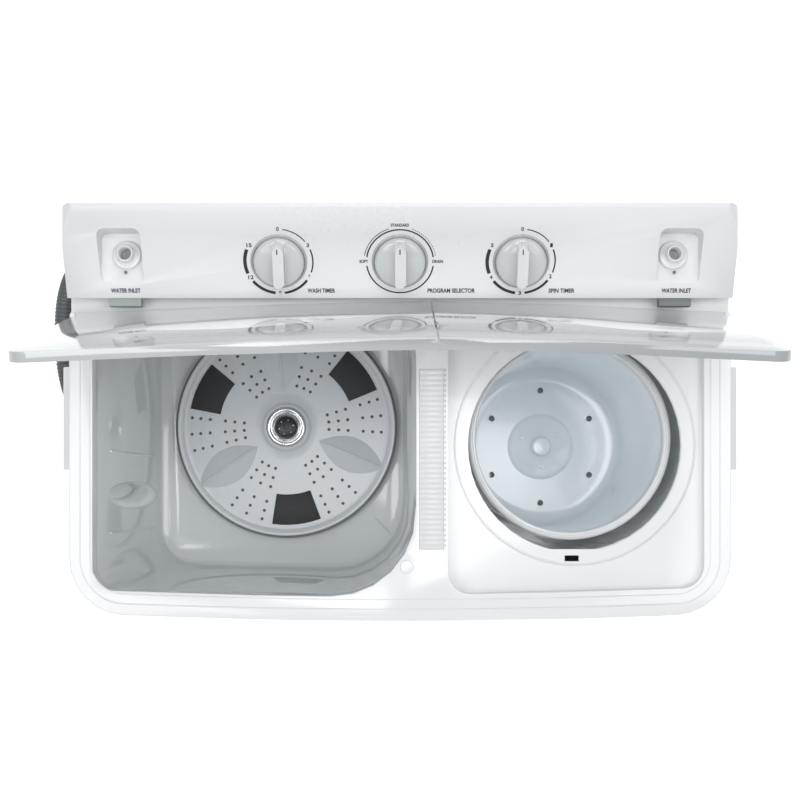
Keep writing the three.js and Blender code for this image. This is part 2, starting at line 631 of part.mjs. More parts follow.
function addSpinMotor() {
  const { x, y } = SPIN_AXIS;
  add('spin_motor', turned([
    [0, 112], [69, 112], [69, 117], [62, 120], [62, 208], [50, 218], [12, 222], [0, 222],
  ], x, y, 28), MOTOR_GREY);
  const floor = TRAY.bottom + TRAY.floor + GAP;
  for (let k = 0; k < 3; k += 1) {
    const turn = THREE.MathUtils.degToRad(120 * k + 90);
    const bellows = [
      [0, floor], [18, floor], [18, 34], [12, 42], [17, 52], [12, 62], [17, 72], [12, 82],
      [17, 92], [14, 112 - GAP], [0, 112 - GAP],
    ];
    const mount = turned(bellows, x + 50 * Math.cos(turn), y + 50 * Math.sin(turn), 10);
    add(`spin_motor_mount_${k + 1}`, mount, RUBBER);
  }
  const lever = join(
    box([140, 36, 240], [265, 44, 250]),
    disc(140, 40, 240, 250, 9, 20),
    box([185, 28.5, 240], [209, 37, 250]),
  );
  add('brake_lever', cut(lever, disc(140, 40, 238, 252, 4.3, 20)), STEEL);
}

// ---------- control panel ----------
const SLOPE = THREE.MathUtils.degToRad(PANEL.slope);
const panelZ = (y) => PANEL.lipZ + (y - PANEL.lipY) * Math.tan(SLOPE);

function panelBlock(inset) {
  const t = inset;
  const floor = inset ? DECK_REAR_Z - 5 : DECK_REAR_Z + GAP;
  const drop = t / Math.cos(SLOPE);
  const side = [
    v2(PANEL.riserY + t, floor),
    v2(BACK_Y - t, floor),
    v2(BACK_Y - t, panelZ(PANEL.topY) - 4 - t),
    v2(BACK_Y - 2 - t, panelZ(PANEL.topY) - 0.5 - t),
    v2(PANEL.topY, panelZ(PANEL.topY) - drop),
    v2(PANEL.lipY + (inset ? 4 + t : 0), panelZ(PANEL.lipY + (inset ? 4 + t : 0)) - drop),
    v2(PANEL.riserY + t, PANEL.lipZ - 2 - t),
  ];
  const top = panelZ(PANEL.topY) + 5;
  const ends = rounded(
    { x0: -PANEL.halfX + t, x1: PANEL.halfX - t, y0: floor - 5, y1: top - t, radii: [1, 1, 30, 30] },
  );
  for (const point of ends) {
    const rise = THREE.MathUtils.clamp((point.y - PANEL.lipZ) / (top - PANEL.lipZ), 0, 1);
    point.x *= 1 - (rise * (PANEL.halfX - PANEL.topHalfX)) / PANEL.halfX;
  }
  return plateAlongX(side, -400, 400).intersect(plateAlongY(ends, 100, 260));
}

// A group whose Z axis stands square on the sloping panel, at a knob's centre.
function knobFrame(x) {
  const group = new THREE.Group();
  group.position.set(x, KNOB_Y, panelZ(KNOB_Y));
  group.rotation.x = SLOPE;
  machine.add(group);
  return group;
}

// A round cutter on the same axis as a knob, between two heights above the panel.
function panelDisc(x, z0, z1, radius, segments) {
  const points = [[0, z0], [radius, z0], [radius, z1], [0, z1]].map(([r, z]) => v2(r, z));
  const geometry = new THREE.LatheGeometry(points, segments).rotateX(Math.PI / 2 + SLOPE);
  return solid(geometry.translate(x, KNOB_Y, panelZ(KNOB_Y)));
}

function addPanel() {
  const { floorZ } = INLET;
  let panel = cut(panelBlock(0), panelBlock(PANEL.wall));
  for (const sign of [-1, 1]) {
    const { x0, x1 } = INLET_POCKET;
    const area = sign < 0 ? { ...INLET_POCKET, x0: -x1, x1: -x0 } : INLET_POCKET;
    const walls = plate(rounded(area, -PANEL.wall, 3), floorZ - PANEL.wall, 870).intersect(panelBlock(0));
    panel = cut(
      join(panel, walls),
      plate(rounded(area, 0, 3), floorZ, 880),
      disc(sign * INLET.x, INLET.y, floorZ - 10, floorZ + 5, INLET.outer + 0.5, 20),
    );
    const [slotLow, slotHigh] = sign < 0 ? [-SLOT.x1, -SLOT.x0] : [SLOT.x0, SLOT.x1];
    panel = cut(panel, box([slotLow - GAP, 130, SLOT.z0 - GAP], [slotHigh + GAP, 150, SLOT.z1 + GAP]));
  }
  for (const x of [-KNOB_X, 0, KNOB_X]) {
    panel = cut(panel, panelDisc(x, -1.2, 8, KNOB.recess, 28), panelDisc(x, -10, 5, 6, 16));
  }
  add('control_panel', panel, PANEL_GREY);
}

function addKnob(name, x) {
  const holder = knobFrame(x);
  const base = turned([
    [0, 0.3], [KNOB.radius - 1, 0.3], [KNOB.radius, 1.5], [KNOB.radius - 1, 7], [KNOB.radius - 5, 9], [0, 9],
  ], 0, 0, 24);
  const bar = box([-KNOB.bar / 2, -27, 2], [KNOB.bar / 2, 27, 22])
    .intersect(turned([[0, 1], [27.5, 1], [27, 12], [22, 22.5], [0, 23]], 0, 0, 24));
  add(`${name}_knob`, join(base, bar, disc(0, 0, -6, 1, 4, 16)), KNOB_GREY, holder);
  const body = cut(box([-25, -20, -39], [25, 20, -PANEL.wall - GAP]), disc(0, 0, -8, 0, 4.5, 16));
  add(`${name}_switch`, body, BLACK, holder);
}

function addInlets() {
  for (const [side, sign] of [['left', -1], ['right', 1]]) {
    const x = sign * INLET.x;
    const floor = INLET.floorZ + GAP;
    const { bore, outer, collar, height } = INLET;
    add(`water_inlet_${side}`, turned([
      [bore, SLOT.z1 + 1], [outer, SLOT.z1 + 1], [outer, floor], [collar, floor], [collar, floor + 4],
      [outer + 0.5, floor + 6], [outer, floor + height], [bore, floor + height],
    ], x, INLET.y, 18), PANEL_GREY);
    const [low, high] = sign < 0 ? [-SLOT.x1, -SLOT.x0] : [SLOT.x0, SLOT.x1];
    const duct = cut(
      box([low, SLOT.frontY, SLOT.z0], [high, INLET.y + 15, SLOT.z1]),
      box([low + 2, SLOT.frontY - 5, SLOT.z0 + 2], [high - 2, INLET.y + 12, SLOT.z1 - 2]),
      disc(x, INLET.y, SLOT.z0 + 5, SLOT.z1 + 5, 9.5, 20),
    );
    add(`water_duct_${side}`, duct, TUB_GREY);
  }
}

// ---------- lids ----------
function lidBody(area, seamX, tabs) {
  const { length, back, plate: thick, lift, skirt } = LID;
  const under = RIM_Z + lift - HINGE.z;
  const inner = area.map((point) => point.clone());
  const centre = v2((area[0].x + seamX) / 2, -length / 2);
  for (const point of inner) {
    point.x += Math.sign(centre.x - point.x) * thick;
    point.y += Math.sign(centre.y - point.y) * thick;
  }
  const [x0, x1] = [Math.min(...area.map((p) => p.x)), Math.max(...area.map((p) => p.x))];
  const outside = plate(area, -40, 60)
    .intersect(archedBlock(x0, x1, -length - 5, back + 5, under + thick, under - skirt, true));
  const inside = plate(inner, -50, 60)
    .intersect(archedBlock(x0, x1, -length - 5, back + 5, under, -45));
  const pads = tabs.map((x) => {
    const z = under + archAt(x);
    return box([x - 6, -length + 3, z - skirt], [x + 6, -length + 9, z + 1]);
  });
  return join(cut(outside, inside), ...pads);
}

function lidOutline(outerSign, seamX) {
  const { length, back, outerFront, outerBack } = LID;
  const corner = 24;
  const points = [v2(seamX, -length), v2(seamX, back), v2(outerSign * outerBack, back)];
  for (let k = 0; k <= 6; k += 1) {
    const turn = THREE.MathUtils.degToRad(15 * k);
    points.push(v2(
      outerSign * (outerFront - corner + corner * Math.cos(turn)),
      -length + corner - corner * Math.sin(turn),
    ));
  }
  return outerSign < 0 ? points.reverse() : points;
}

function addLid(side, outerSign, seamX, tabs) {
  const holder = new THREE.Group();
  holder.position.set(0, HINGE.y, HINGE.z);
  holder.rotation.x = -THREE.MathUtils.degToRad(LID.openAngle);
  machine.add(holder);
  const [low, high] = outerSign < 0 ? [seamX - 8, seamX - 4] : [seamX + 4, seamX + 8];
  const bore = HINGE.radius + GAP;
  const lug = join(box([low, -6, 0], [high, LID.back, 18]), rodAlongX(low, high, 0, 0, 6, 20));
  const body = join(lidBody(lidOutline(outerSign, seamX), seamX, tabs), lug);
  add(`lid_${side}`, cut(body, rodAlongX(-400, 400, 0, 0, bore, 16)), LID_MILK, holder);
}

function addHingeBlocks() {
  const blocks = [
    ['left', -371.5, -HINGE.outerX, -371.5, -358],
    ['centre', 32.5, 37.5, 25, 45],
    ['right', HINGE.outerX, 371.5, 358, 371.5],
  ];
  for (const [place, x0, x1, pin0, pin1] of blocks) {
    const { y, z, radius, blockRadius } = HINGE;
    const body = join(
      box([x0, y - blockRadius, DECK_REAR_Z + GAP], [x1, y + blockRadius, z]),
      rodAlongX(x0, x1, y, z, blockRadius, 20),
      rodAlongX(pin0, pin1, y, z, radius, 16),
    );
    add(`hinge_block_${place}`, body, WHITE);
  }
}

// ---------- wiring ----------
function addWiring() {
  add('wiring_loom', tubeAlong([
    [60, 196, 758], [60, 200, 650], [58, 196, 520], [50, 180, 430], [30, 150, 370], [12, 122, 340],
  ], 5, 8, 16), BLACK);
}

addFeet();
addBaseTray();
addCabinet();
addRearCover();
addPowerGland();
addDeck();
addWashboard();
addHandGrips();
addWashTub();
addLintFilterCover();
addPulsator();
addGearbox();
addWashDrive();
addDrain();
addDrainHose();
addSpinTub();
addSpinBasket();
addSpinMotor();
addPanel();
addKnob('wash_timer', -KNOB_X);
addKnob('selector', 0);
addKnob('spin_timer', KNOB_X);
addInlets();
addLid('left', -1, SEAM_X - 1, TAB_XS_LEFT);
addLid('right', 1, SEAM_X + 1, TAB_XS_RIGHT);
addHingeBlocks();
addWiring();

export default machine;
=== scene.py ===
"""Portable twin-tub washing machine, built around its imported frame. Metres, +Z up, front towards -Y."""
import json
import math

import bmesh
import bpy
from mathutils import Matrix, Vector


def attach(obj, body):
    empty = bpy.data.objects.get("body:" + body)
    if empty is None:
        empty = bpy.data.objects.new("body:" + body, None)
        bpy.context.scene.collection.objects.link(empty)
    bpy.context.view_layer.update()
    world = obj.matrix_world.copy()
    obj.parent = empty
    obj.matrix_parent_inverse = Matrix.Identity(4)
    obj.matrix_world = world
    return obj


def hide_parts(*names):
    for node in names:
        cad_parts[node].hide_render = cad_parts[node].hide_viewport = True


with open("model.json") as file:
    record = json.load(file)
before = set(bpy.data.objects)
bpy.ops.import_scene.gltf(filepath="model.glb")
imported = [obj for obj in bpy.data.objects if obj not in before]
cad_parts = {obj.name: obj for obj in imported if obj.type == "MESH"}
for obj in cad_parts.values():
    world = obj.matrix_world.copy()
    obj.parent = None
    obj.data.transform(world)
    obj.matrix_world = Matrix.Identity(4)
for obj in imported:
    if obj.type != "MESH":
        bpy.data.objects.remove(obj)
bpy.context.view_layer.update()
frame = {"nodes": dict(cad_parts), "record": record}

MM = 0.001

# ---------- driving dimensions, in millimetres and degrees ----------
HALF_WIDTH, FRONT_Y, FRONT_BOW = 375.0, -217.5, 8.0
RIM_Z = 780.0
SEAM_X, ARCH = 35.0, 13.0
DECK_STEP_Y = 103.0
PLUG_X, PLUG_Y = 7.7, -165.0

PULSATOR_X, PULSATOR_Y = -156.6, 8.0
PULSATOR_BOTTOM, PULSATOR_TOP = 408.0, 416.0
FIN_ANGLES = (95.0, 214.0, 337.0)
HOLE_GROUPS = (66.0, 124.75, 184.25, 245.0, 306.5, 7.0)
HOLE_SPOKES = (-10.0, 0.0, 10.0)
HOLE_RADII = (58.7, 72.0, 85.0, 106.0, 119.0, 131.0)

SPIN_X, SPIN_Y = 197.0, -18.0
MOUTH_CENTRE, MOUTH_BEAD_R = (199.6, -27.2), 137.5
RECESS_BEAD_Z = 768.2
BASKET_OUTER, BASKET_BOTTOM, BASKET_TOP = 113.0, 380.0, 716.7

PANEL_LIP_Y, PANEL_LIP_Z, PANEL_SLOPE = 137.0, 795.0, 30.5
KNOB_Y = 174.5
KNOBS = {"wash_timer": -134.0, "selector": 0.0, "spin_timer": 134.0}
DIAL_R = 37.6
MARK_LIFT = 0.18
NAME_Y = 144.5
INLET_X, INLET_Y, INLET_FLOOR = 304.5, 183.5, 803.0

HOSE_DIAMETER = 22.0


def arch_at(x):
    """How far the deck has risen towards the seam between the lids."""
    reach = 400.0 if x < SEAM_X else 340.0
    return ARCH * (1 - (abs(x - SEAM_X) / reach) ** 1.6)


def panel_z(y):
    return PANEL_LIP_Z + (y - PANEL_LIP_Y) * math.tan(math.radians(PANEL_SLOPE))


# ---------- shader node groups ----------
def new_group(name, inputs, outputs):
    group = bpy.data.node_groups.new(name, "ShaderNodeTree")
    for label, kind, value in inputs:
        socket = group.interface.new_socket(label, in_out="INPUT", socket_type=f"NodeSocket{kind}")
        socket.default_value = value
    for label, kind in outputs:
        group.interface.new_socket(label, in_out="OUTPUT", socket_type=f"NodeSocket{kind}")
    return group, group.nodes.new("NodeGroupInput"), group.nodes.new("NodeGroupOutput")


def calc(tree, operation, first, second=0.0, clamp=False):
    node = tree.nodes.new("ShaderNodeMath")
    node.operation = operation
    node.use_clamp = clamp
    for socket, value in zip(node.inputs, (first, second)):
        if isinstance(value, (int, float)):
            socket.default_value = value
        else:
            tree.links.new(value, socket)
    return node.outputs[0]


def noise(tree, coordinates, scale, detail=2.0, roughness=0.5):
    node = tree.nodes.new("ShaderNodeTexNoise")
    node.inputs["Scale"].default_value = scale
    node.inputs["Detail"].default_value = detail
    node.inputs["Roughness"].default_value = roughness
    tree.links.new(coordinates, node.inputs["Vector"])
    return node.outputs["Fac"]


def stretched(tree, coordinates, scale, turn=(0.0, 0.0, 0.0)):
    node = tree.nodes.new("ShaderNodeMapping")
    node.inputs["Rotation"].default_value = turn
    node.inputs["Scale"].default_value = scale
    tree.links.new(coordinates, node.inputs["Vector"])
    return node.outputs[0]


def make_moulded_group():
    """Moulded surface: cloudy colour, uneven gloss and the fine grain of the mould."""
    group, entry, leave = new_group(
        "moulded_surface",
        [("Colour", "Color", (0.8, 0.8, 0.8, 1)), ("Cloud", "Float", 0.05), ("Gloss", "Float", 0.25),
         ("Unevenness", "Float", 0.1)],
        [("Colour", "Color"), ("Roughness", "Float"), ("Height", "Float")],
    )
    place = group.nodes.new("ShaderNodeTexCoord").outputs["Object"]
    broad = noise(group, place, 7.0, 3.0)
    fine = noise(group, place, 160.0)
    grain = noise(group, place, 900.0, 1.0)
    shade = calc(group, "MULTIPLY", calc(group, "SUBTRACT", broad, 0.5), entry.outputs["Cloud"])
    tint = group.nodes.new("ShaderNodeVectorMath")
    tint.operation = "SCALE"
    group.links.new(entry.outputs["Colour"], tint.inputs[0])
    group.links.new(calc(group, "ADD", shade, 1.0), tint.inputs["Scale"])
    group.links.new(tint.outputs[0], leave.inputs["Colour"])
    mixed = calc(group, "ADD", calc(group, "MULTIPLY", broad, 0.6), calc(group, "MULTIPLY", fine, 0.4))
    swing = calc(group, "MULTIPLY", calc(group, "SUBTRACT", mixed, 0.5), entry.outputs["Unevenness"])
    group.links.new(calc(group, "ADD", entry.outputs["Gloss"], swing, True), leave.inputs["Roughness"])
    height = calc(group, "ADD", calc(group, "MULTIPLY", fine, 0.7), calc(group, "MULTIPLY", grain, 0.3))
    group.links.new(height, leave.inputs["Height"])
    return group


def make_wear_group():
    """Handling marks: thin scratches, and dull patches where hands and laundry rub."""
    group, entry, leave = new_group(
        "handling_wear",
        [("Roughness", "Float", 0.3), ("Scratches", "Float", 0.1), ("Patches", "Float", 0.1)],
        [("Roughness", "Float")],
    )
    place = group.nodes.new("ShaderNodeTexCoord").outputs["Object"]
    streaks = noise(group, stretched(group, place, (6.0, 90.0, 45.0), (0.3, 0.5, 0.9)), 1.0, 4.0, 0.7)
    lines = calc(group, "MULTIPLY", calc(group, "SUBTRACT", streaks, 0.66), 14.0, True)
    cloud = noise(group, place, 11.0, 4.0)
    blots = calc(group, "MULTIPLY", calc(group, "SUBTRACT", cloud, 0.56), 6.0, True)
    marks = calc(group, "ADD", calc(group, "MULTIPLY", lines, entry.outputs["Scratches"]),
                 calc(group, "MULTIPLY", blots, entry.outputs["Patches"]))
    group.links.new(calc(group, "ADD", entry.outputs["Roughness"], marks, True), leave.inputs["Roughness"])
    return group


MOULDED = make_moulded_group()
WEAR = make_wear_group()


# ---------- materials ----------
def use_group(tree, group, **values):
    node = tree.nodes.new("ShaderNodeGroup")
    node.node_tree = group
    for label, value in values.items():
        node.inputs[label].default_value = value
    return node


def surface(name, colour, gloss, cloud=0.04, unevenness=0.06, grain=0.05, scratches=0.08, patches=0.05,
            coat=0.0, metallic=0.0, painted_glow=0.0):
    """A moulded, cast or plated surface with its own colour and gloss, handled but clean."""
    material = bpy.data.materials.new(name)
    material.use_nodes = True
    tree = material.node_tree
    shader = tree.nodes["Principled BSDF"]
    base = use_group(tree, MOULDED, Colour=(*colour, 1), Cloud=cloud, Gloss=gloss, Unevenness=unevenness)
    wear = use_group(tree, WEAR, Scratches=scratches, Patches=patches)
    tree.links.new(base.outputs["Colour"], shader.inputs["Base Color"])
    tree.links.new(base.outputs["Roughness"], wear.inputs["Roughness"])
    tree.links.new(wear.outputs["Roughness"], shader.inputs["Roughness"])
    bump = tree.nodes.new("ShaderNodeBump")
    bump.inputs["Strength"].default_value = grain
    bump.inputs["Distance"].default_value = 0.0004
    tree.links.new(base.outputs["Height"], bump.inputs["Height"])
    tree.links.new(bump.outputs["Normal"], shader.inputs["Normal"])
    shader.inputs["Coat Weight"].default_value = coat
    shader.inputs["Coat Roughness"].default_value = 0.05
    shader.inputs["Metallic"].default_value = metallic
    # The glow is painted light: a faint emission of the surface's own colour, though it is no lamp.
    shader.inputs["Emission Color"].default_value = (*colour, 1)
    shader.inputs["Emission Strength"].default_value = painted_glow
    return material


def recolour(material, mask, other):
    """Mixes a second colour into a surface where the mask says so."""
    tree = material.node_tree
    shader = tree.nodes["Principled BSDF"]
    first = shader.inputs["Base Color"].links[0].from_socket
    mix = tree.nodes.new("ShaderNodeMix")
    mix.data_type = "RGBA"
    colour_sockets = [s for s in mix.inputs if s.type == "RGBA"]
    colour_sockets[1].default_value = (*other, 1)
    tree.links.new(mask, mix.inputs["Factor"])
    tree.links.new(first, colour_sockets[0])
    tree.links.new([s for s in mix.outputs if s.type == "RGBA"][0], shader.inputs["Base Color"])


def ramp(tree, value, limits, results):
    """Eases a value from the first result to the second between the two limits."""
    node = tree.nodes.new("ShaderNodeMapRange")
    node.interpolation_type = "SMOOTHSTEP"
    for label, number in zip(("From Min", "From Max", "To Min", "To Max"), (*limits, *results)):
        node.inputs[label].default_value = number
    tree.links.new(value, node.inputs["Value"])
    return node.outputs[0]


def lid_plastic_with_painted_reflection():
    """Milky white near the hinge, with a painted grey reflection band, wavy at its border, towards the free
    edge.
    """
    material = surface("lid_milky_plastic_painted_reflection", (0.95, 0.955, 0.96), 0.08, cloud=0.01, unevenness=0.03,
                       grain=0.01, scratches=0.03, patches=0.02, coat=0.5)
    tree = material.node_tree
    place = tree.nodes.new("ShaderNodeTexCoord").outputs["Object"]
    split = tree.nodes.new("ShaderNodeSeparateXYZ")
    tree.links.new(place, split.inputs[0])
    across = calc(tree, "ABSOLUTE", calc(tree, "SUBTRACT", split.outputs["X"], SEAM_X * MM))
    rise = ramp(tree, across, (0.05, 0.2), (0.918, 0.998))
    reflection_border = calc(tree, "ADD", rise, ramp(tree, across, (0.2, 0.34), (0.0, -0.022)))
    past = calc(tree, "SUBTRACT", split.outputs["Z"], reflection_border)
    reflection_band = ramp(tree, past, (-0.003, 0.003), (0.0, 1.0))
    streaks = noise(tree, stretched(tree, place, (1.2, 20.0, 26.0)), 1.0, 3.0)
    shade = calc(tree, "MULTIPLY", reflection_band, ramp(tree, streaks, (0.35, 0.7), (1.0, 0.72)))
    # The grey band is a painted reflection, streaked by noise, laid on one milky plastic.
    recolour(material, shade, (0.33, 0.35, 0.36))
    return material


def mesh_pad():
    """Mesh pad: a regular grid of small paler dots."""
    material = surface("filter_mesh_charcoal", (0.028, 0.028, 0.03), 0.6, grain=0.1)
    tree = material.node_tree
    place = tree.nodes.new("ShaderNodeTexCoord").outputs["Object"]
    cells = tree.nodes.new("ShaderNodeTexVoronoi")
    cells.inputs["Scale"].default_value = 215.0
    cells.inputs["Randomness"].default_value = 0.0
    tree.links.new(place, cells.inputs["Vector"])
    dots = calc(tree, "LESS_THAN", cells.outputs["Distance"], 0.24)
    recolour(material, dots, (0.09, 0.09, 0.095))
    return material


def floor_paint():
    material = surface("studio_floor_paint", (0.95, 0.955, 0.96), 0.8, cloud=0.01, grain=0.0, scratches=0.0,
                       patches=0.0)
    shader = material.node_tree.nodes["Principled BSDF"]
    shader.inputs["Emission Color"].default_value = (0.98, 0.99, 1.0, 1.0)
    shader.inputs["Emission Strength"].default_value = 0.4
    return material


MATERIALS = {
    "white_gloss": surface("body_white", (0.79, 0.80, 0.81), 0.2, coat=0.25),
    "panel_grey": surface("panel_cool_white", (0.72, 0.725, 0.75), 0.28, cloud=0.015, patches=0.01),
    # Painted light: the tub glows faintly, to brighten its deep inside.
    "tub_grey": surface("tub_grey_green", (0.75, 0.78, 0.79), 0.07, cloud=0.05, unevenness=0.05, coat=0.3,
                        painted_glow=0.02),
    "pulsator_blue": surface("agitator_pale_blue", (0.67, 0.70, 0.73), 0.26),
    # Painted light: the basket glows faintly, to brighten its deep inside.
    "basket_blue": surface("basket_pale_blue", (0.85, 0.9, 0.93), 0.14, coat=0.2, painted_glow=0.03),
    "lid_milk": lid_plastic_with_painted_reflection(),
    "knob_grey": surface("knob_clear_grey", (0.52, 0.545, 0.555), 0.1, coat=0.6),
    "mesh_charcoal": mesh_pad(),
    "hose_grey": surface("hose_dark_grey", (0.1, 0.107, 0.112), 0.42, grain=0.12),
    "rubber_black": surface("black_rubber", (0.02, 0.02, 0.021), 0.72, grain=0.25),
    "steel": surface("plain_steel", (0.5, 0.52, 0.54), 0.32, grain=0.15, metallic=1.0),
    "hub_chrome": surface("polished_chrome", (0.72, 0.73, 0.75), 0.1, grain=0.03, metallic=1.0),
    "motor_metal": surface("motor_casting", (0.25, 0.26, 0.27), 0.5, grain=0.3, metallic=1.0),
    "black_plastic": surface("black_plastic", (0.02, 0.021, 0.023), 0.35, grain=0.12),
}
MARK_INK = surface("printed_black_ink", (0.014, 0.014, 0.015), 0.45, grain=0.0, scratches=0.02)
KNOB_BAR = surface("knob_bar_grey", (0.66, 0.675, 0.68), 0.1, coat=0.6)
SEAT_GREY = surface("knob_seat_grey", (0.36, 0.37, 0.38), 0.22, coat=0.3)
# Painted shade: a darkened grey-green for the duct slots, which sit in shade.
DUCT_PAINTED_SHADE = surface("duct_painted_shade_green", (0.3, 0.34, 0.32), 0.4)
# Painted shadow: a dark colour put in gaps, holes and slots where only shade falls.
TUB_SHADOW = surface("painted_shadow_dark", (0.16, 0.18, 0.175), 0.5)


# ---------- camera and studio ----------
def add_camera():
    """Looks straight down, with the frame slid towards the control panel."""
    data = bpy.data.cameras.new("camera")
    data.lens = 65.6
    data.shift_y = 0.11
    camera = bpy.data.objects.new("camera", data)
    camera.location = (0.0, -0.076, 2.43)
    bpy.context.collection.objects.link(camera)
    bpy.context.scene.camera = camera


def add_light(name, place, size, power):
    data = bpy.data.lights.new(name, "AREA")
    data.shape = "SQUARE"
    data.size = size
    data.energy = power
    light = bpy.data.objects.new(name, data)
    light.location = place
    aim = Vector((0, 0, 0.6)) - Vector(place)
    light.rotation_euler = aim.to_track_quat("-Z", "Y").to_euler()
    bpy.context.collection.objects.link(light)


def add_studio():
    bpy.ops.mesh.primitive_plane_add(size=16)
    floor = bpy.context.object
    floor.name = "studio_floor"
    floor.data.materials.append(floor_paint())
    world = bpy.data.worlds.new("studio")
    world.use_nodes = True
    sky = world.node_tree.nodes["Background"]
    sky.inputs["Color"].default_value = (0.97, 0.985, 1.0, 1.0)
    sky.inputs["Strength"].default_value = 0.4
    bpy.context.scene.world = world
    bpy.context.scene.view_settings.view_transform = "Standard"
    add_light("top_softbox", (-0.05, 0.1, 4.3), 1.1, 26)
    add_light("left_softbox", (-1.6, -0.5, 4.1), 1.5, 29)
    add_light("right_softbox", (1.7, -0.2, 4.1), 1.5, 25)
    add_light("front_softbox", (0.2, -2.3, 3.2), 1.2, 11)
    add_light("rear_softbox", (0.1, 2.4, 3.0), 1.6, 33)


# ---------- modelling helpers ----------
def activate(piece):
    bpy.ops.object.select_all(action="DESELECT")
    piece.select_set(True)
    bpy.context.view_layer.objects.active = piece


def edit(piece):
    activate(piece)
    bpy.ops.object.mode_set(mode="EDIT")
    bpy.ops.mesh.select_mode(type="VERT")
    bpy.ops.mesh.select_all(action="SELECT")


def leave_edit():
    bpy.ops.object.mode_set(mode="OBJECT")


def apply_modifiers(piece):
    activate(piece)
    for modifier in list(piece.modifiers):
        bpy.ops.object.modifier_apply(modifier=modifier.name)


def settle(piece, turn=(0.0, 0.0, 0.0), place=(0.0, 0.0, 0.0), scale=(1.0, 1.0, 1.0)):
    """Turns, sizes and places a piece, and leaves that in its mesh."""
    activate(piece)
    piece.rotation_euler = [math.radians(a) for a in turn]
    piece.location = Vector(place) * MM
    piece.scale = scale
    bpy.ops.object.transform_apply(location=True, rotation=True, scale=True)


def smooth(piece, angle=35):
    activate(piece)
    bpy.ops.object.shade_smooth_by_angle(angle=math.radians(angle))


def round_edges(piece, width, segments=2, angle=32):
    modifier = piece.modifiers.new("soft_edges", "BEVEL")
    modifier.width = width * MM
    modifier.segments = segments
    modifier.limit_method = "ANGLE"
    modifier.angle_limit = math.radians(angle)
    apply_modifiers(piece)
    smooth(piece)


def bevel_where(piece, test, width, segments=3):
    """Rounds the sharp edges whose middle passes the test, given in millimetres."""
    edit(piece)
    bpy.ops.mesh.select_all(action="DESELECT")
    mesh = bmesh.from_edit_mesh(piece.data)
    bpy.ops.mesh.select_mode(type="EDGE")
    for edge in mesh.edges:
        middle = (edge.verts[0].co + edge.verts[1].co) / 2 / MM
        sharp = len(edge.link_faces) == 2 and edge.calc_face_angle() > math.radians(50)
        if sharp and test(middle):
            edge.select_set(True)
    bmesh.update_edit_mesh(piece.data)
    bpy.ops.mesh.bevel(offset=width * MM, segments=segments, affect="EDGES", clamp_overlap=True)
    leave_edit()


def finish_piece(piece, slot, body="machine", nodes=(), material=None):
    piece.data.materials.clear()
    piece.data.materials.append(material or MATERIALS[slot])
    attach(piece, body)
    if nodes:
        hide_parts(*nodes)
    return piece


NODE_BODY = {node: body for body, nodes in frame["record"]["behaviour"]["bodies"].items() for node in nodes}
NODE_SLOT = {part["node"]: part["material_slot"] for part in frame["record"]["subparts"]}


def welded(node):
    """A copy of a frame node with its corners joined and its flat faces whole."""
    piece = frame["nodes"][node].copy()
    piece.data = piece.data.copy()
    piece.name = f"{node}_shell"
    piece.parent = None
    bpy.context.collection.objects.link(piece)
    edit(piece)
    bpy.ops.mesh.remove_doubles(threshold=0.00002)
    bpy.ops.mesh.dissolve_limited(angle_limit=math.radians(1.0))
    leave_edit()
    return piece


def softened(node, width, segments=2, angle=32, material=None):
    """A stand-in for a frame node, with the same shape and its edges rounded."""
    piece = welded(node)
    round_edges(piece, width, segments, angle)
    return finish_piece(piece, NODE_SLOT[node], NODE_BODY[node], (node,), material)


def turned(name, profile, centre=(0.0, 0.0), steps=96, closed=True):
    """A profile of (radius, height) points, turned about the upright line through centre."""
    bpy.ops.object.select_all(action="DESELECT")
    bpy.ops.mesh.primitive_plane_add(size=0.01, location=(0, 0, 0))
    piece = bpy.context.object
    piece.name = name
    edit(piece)
    bpy.ops.mesh.merge(type="CENTER")
    places = [Vector((centre[0] + r, centre[1], z)) * MM for r, z in profile]
    if closed and profile[0][0] > 0:
        places.append(places[0].copy())
    bpy.ops.transform.translate(value=places[0])
    for start, end in zip(places, places[1:]):
        bpy.ops.mesh.extrude_region_move(TRANSFORM_OT_translate={"value": end - start})
    bpy.ops.mesh.select_all(action="SELECT")
    bpy.ops.mesh.remove_doubles(threshold=0.00001)
    bpy.ops.mesh.select_all(action="SELECT")
    axis_point = Vector((centre[0], centre[1], 0)) * MM
    bpy.ops.mesh.spin(steps=steps, angle=2 * math.pi, center=axis_point, axis=(0, 0, 1))
    bpy.ops.mesh.select_all(action="SELECT")
    bpy.ops.mesh.remove_doubles(threshold=0.00001)
    bpy.ops.mesh.select_all(action="SELECT")
    bpy.ops.mesh.normals_make_consistent(inside=False)
    leave_edit()
    return piece


def bead(name, points, radius, closed=False):
    """A thin round bead that follows a line of points."""
    curve = bpy.data.curves.new(name, "CURVE")
    curve.dimensions = "3D"
    curve.bevel_depth = radius * MM
    curve.bevel_resolution = 2
    curve.use_fill_caps = True
    spline = curve.splines.new("POLY")
    spline.points.add(len(points) - 1)
    spline.use_cyclic_u = closed
    for point, place in zip(spline.points, points):
        point.co = (*(Vector(place) * MM), 1)
    piece = bpy.data.objects.new(name, curve)
    bpy.context.collection.objects.link(piece)
    activate(piece)
    bpy.ops.object.convert(target="MESH")
    piece = bpy.context.object
    smooth(piece, 60)
    return piece


def joined(name, pieces):
    activate(pieces[0])
    for piece in pieces:
        piece.select_set(True)
    bpy.ops.object.join()
    pieces[0].name = name
    return pieces[0]


